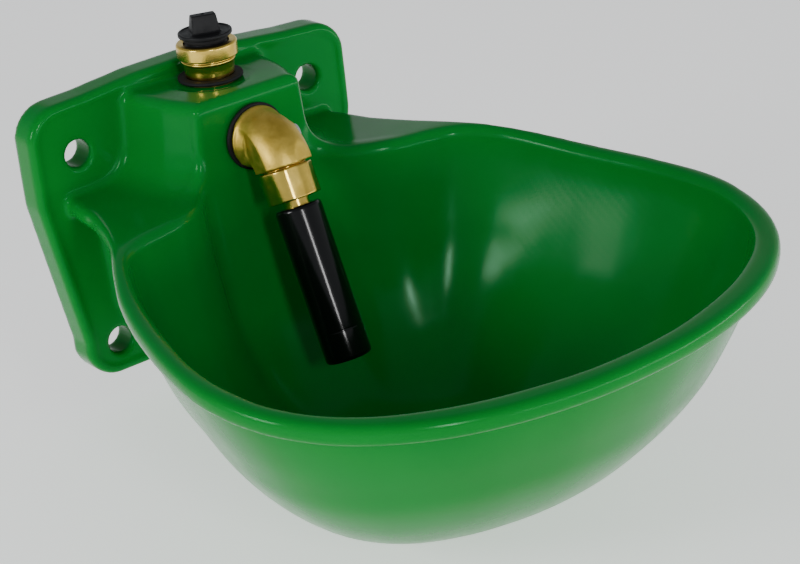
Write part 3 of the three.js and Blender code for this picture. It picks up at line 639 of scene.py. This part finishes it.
def elbow_field(X, Y, Z):
    VMi = np.array(VM.inverted())
    ly = VMi[1, 1] * Y + VMi[1, 2] * Z + VMi[1, 3]
    lz = VMi[2, 1] * Y + VMi[2, 2] * Z + VMi[2, 3]
    s = -lz
    cy, cz = VALVE.y + 12 * math.cos(TILT) + 0.7 * math.sin(TILT), OUTLET_Z - 12
    ry, rz = Y - cy, Z - cz
    ra = np.hypot(ry, rz)
    phi = np.degrees(np.arctan2(-ry, rz))
    inbend = (phi > 0) & (phi < 68) & (rz > -40)
    d_arc = np.hypot(ra - 12, X)
    d_leg = np.hypot(X, Z - OUTLET_Z)
    d_low = np.hypot(X, ly)
    before = (phi <= 0) | (phi > 200)
    d = np.where(inbend, d_arc, np.where(Y > cy, d_leg, d_low))
    outer = np.maximum(np.maximum(d - 11.0, s), Y + 53.5)
    for a in (172, -68, -8):
        outer = smax(outer, X * math.cos(rad(a)) + ly * math.sin(rad(a)) - (9.75 if a == 172 else 10.0), 0.22)
    for a in (52, 112):
        outer = smax(outer, X * math.cos(rad(a)) + ly * math.sin(rad(a)) - 10.1 - 2.0 * np.maximum(-s - 2.5, 0), 0.7)
    leg = np.hypot(X, Z - OUTLET_Z)
    f = -Y
    collar = ext(leg - 11.65, band(f, 53.0, 54.3), 0.3)
    cone = np.maximum(leg - (11.5 - 0.55 * (f - 54.0)), band(f, 53.4, 57))
    collar = smin(collar, cone, 0.5)
    tail = np.maximum(leg - 8.15, band(f, 36.4, 53.4))
    boss = ext(np.hypot(Y + 60, Z - 13.2) - 5.4, band(X, 2, 10.6), 0.4)
    g = smin(smin(outer, collar, 2.2), boss, 1.4)
    g = np.minimum(g, tail)
    g = np.maximum(g, -(d - 5.6))
    g = np.maximum(g, -np.maximum(leg - 5.6, band(f, 30, 57)))
    g = np.maximum(g, -np.maximum(d_low - 8.9, band(s, -4.3, 3)))
    bo = np.hypot(Y + 60, Z - 13.2)
    g = np.maximum(g, -np.maximum(bo - 4.5, band(X, 5.8, 20)))
    g = np.maximum(g, -np.maximum(bo - 2.6, band(X, -2.4, 12)))
    return g


elbow = field_mesh("elbow_cast", elbow_field, (-13.6, -79.6, -1.6), (13.6, -35.4, 27.4), 0.34, 0.0)
finish_piece(elbow, CAST, "bowl", "outlet_elbow")


def nut_field(X, Y, Z):
    s = -Z
    r = np.hypot(X, Y)
    hexd = -1e9
    for i in range(6):
        a = rad(60 * i + 13)
        hexd = np.maximum(hexd, X * math.cos(a) + Y * math.sin(a) - 9.93)
    b = smax(hexd, ext(r - 10.3, band(s, 0.9, 12.9), 0.55), 0.25)
    neck = np.maximum(r - (8.35 + 0.25 * np.cos(2 * math.pi * s / 1.3)), band(s, -4, 1.4))
    g = smin(b, neck, 0.2)
    g = np.maximum(g, -np.maximum(r - 7.2, band(s, -8, 8.6)))
    g = np.maximum(g, -np.maximum(r - 4.2, band(s, 7, 12)))
    return np.maximum(g, -ext(r - 7.0, band(s, 10.1, 16), 0.2))


nut = field_mesh("nut_turned", nut_field, (-11, -11, -13.6), (11, 11, 4.6), 0.26, 0.0, VM)
finish_piece(nut, BRASS_V, "bowl", "valve_nut")
stem = lathe("stem_turned", [
    [2.7, -24.0], [5.0, -24.0, 0.2], [5.0, -12.4, 0.3], [4.8, -12.2], [1.9, -12.2], [1.9, -6.0, 0.2], [6.0, -4.75, 0.2], [5.9, -4.5, 0.2], [5.7, -4.4, 0.1], [2.6, -4.4, 0.3], [1.2, -4.2, 0.3], [1.2, -1.9, 0.3], [0, -1.9], [0, -13.2], [2.7, -13.2],
], VM, 64)
finish_piece(stem, BRASS_V, "tilt_tube", "valve_stem")
tube = lathe("tube_moulded", [
    [5.3, -15.6, 0.3], [8.3, -15.6, 0.8], [9.0, -16.6, 0.9], [9.0, -63.9, 0.1], [8.93, -64.1, 0.05], [8.93, -64.5, 0.05], [9.0, -64.7, 0.1], [9.0, -75.0, 0.8], [8.2, -76.0, 0.6], [6.4, -76.0, 0.3], [6.2, -75.6], [6.2, -24.4], [5.3, -24.4],
], VM, 96)
finish_piece(tube, TUBE, "tilt_tube", "push_tube")
FLOWM = Matrix.Translation((-2.4, -60, 13.2)) @ Matrix.Rotation(rad(90), 4, "Y")


def screw_field(X, Y, Z):
    r = np.hypot(X, Y)
    prof = ext(r - 4.0, band(Z, 10.4, 15.2), 0.9)
    prof = smax(prof, -np.maximum(2.7 - r, band(Z, 10.9, 12.3)), 0.15)
    shank = np.maximum(r - 2.2, band(Z, 3.4, 11))
    g = smin(prof, shank, 0.1)
    return smax(g, -np.maximum(np.abs(Y) - 0.6, 14.1 - Z), 0.15)


screw = field_mesh("flow_screw_moulded", screw_field, (-4.6, -4.6, 3), (4.6, 4.6, 15.8), 0.2, 0.0, FLOWM)
finish_piece(screw, PALE, "flow_adjuster", "flow_screw")
fseal = lathe("flow_seal_ring", [[3.0, 11.15], [3.9, 11.15, 0.3], [4.1, 11.6, 0.3], [3.9, 12.05, 0.3], [3.0, 12.05]], FLOWM, 48)
finish_piece(fseal, RUBBER, "flow_ring", "flow_screw_seal")

# pieces inside keep their frame shape
for node, material, slot in (
    ("inlet_strainer", STEEL, "steel_wire"), ("inlet_inner_seal", RUBBER, "rubber_black"), ("outlet_inner_seal", RUBBER, "rubber_black"),
    ("valve_block", CAST, "cast_brass"), ("seat_gasket", RUBBER, "rubber_black"), ("spring_retainer", BRASS_V, "turned_brass"),
    ("valve_spring", STEEL, "steel_wire"), ("spring_follower", STEEL, "steel_wire"),
):
    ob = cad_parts[node]
    ob.data.materials.clear()
    ob.data.materials.append(material)

# ------------------------------------------------------------------ stage
FLOOR = min(cad_lo[2], -0.0981) - 0.0004
bm = bmesh.new()
bmesh.ops.create_grid(bm, x_segments=24, y_segments=24, size=3.0)
fme = bpy.data.meshes.new("floor")
bm.to_mesh(fme)
bm.free()
floor = bpy.data.objects.new("floor", fme)
scene.collection.objects.link(floor)
floor.location = (0.6, 0.4, FLOOR)
fm, fnt, fb, fco = mat("floor_pale")
fn1 = noise(fnt, fco, 3, 3, 0.5)
fr = ramp(fnt, fn1.outputs["Fac"], [(0.3, (0.82, 0.82, 0.82)), (0.7, (0.86, 0.86, 0.86))])
fnt.links.new(fr.outputs[0], fb.inputs["Base Color"])
fb.inputs["Emission Color"].default_value = (1, 1, 1, 1)
fb.inputs["Emission Strength"].default_value = 0.70
fb.inputs["Roughness"].default_value = 0.8
fb.inputs["Specular IOR Level"].default_value = 0.1
fme.materials.append(fm)

world = bpy.data.worlds.new("studio")
scene.world = world
world.use_nodes = True
wnt = world.node_tree
bg = wnt.nodes["Background"]
wco = wnt.nodes.new("ShaderNodeTexCoord")
sep = wnt.nodes.new("ShaderNodeSeparateXYZ")
wnt.links.new(wco.outputs["Generated"], sep.inputs[0])
sky = ramp(wnt, sep.outputs[2], [(0.0, (0.80, 0.84, 0.86)), (0.30, (0.62, 0.66, 0.68)), (0.50, (0.36, 0.38, 0.39)), (1.0, (0.30, 0.32, 0.33))])
wnt.links.new(sky.outputs[0], bg.inputs[0])
bg.inputs[1].default_value = 0.86


def area(name, loc, target, size, energy, colour=(1, 1, 1)):
    L = bpy.data.lights.new(name, "AREA")
    L.shape = "RECTANGLE"
    L.size, L.size_y = size
    L.energy = energy
    L.color = colour
    ob = bpy.data.objects.new(name, L)
    ob.location = loc
    ob.rotation_euler = (Vector(target) - Vector(loc)).to_track_quat("-Z", "Y").to_euler()
    scene.collection.objects.link(ob)
    return ob


area("front_strip", (0.60, -1.05, -0.02), (0, -0.16, -0.06), (1.5, 0.13), 4)
area("key_left", (-0.88, -0.07, 0.33), (0.07, -0.10, -0.03), (0.28, 0.24), 3.4)
area("key_front", (-0.30, -1.00, 0.30), (0, -0.085, -0.01), (0.10, 0.26), 2.6)

# ------------------------------------------------------------------ camera
cam = bpy.data.cameras.new("photo_camera")
cam.lens = 93.53
cam.sensor_width = 36
cam.clip_start = 0.01
co = bpy.data.objects.new("photo_camera", cam)
r_ = Vector((0.77323904, -0.62753384, -0.09111895))
u_ = Vector((0.31956808, 0.26152396, 0.91075873))
b_ = Vector((-0.54770214, -0.73335291, 0.40276032))
M = Matrix((r_, u_, b_)).transposed().to_4x4()
M.translation = Vector((-0.40290, -0.67217, 0.27303))
co.matrix_world = M
scene.collection.objects.link(co)
scene.camera = co
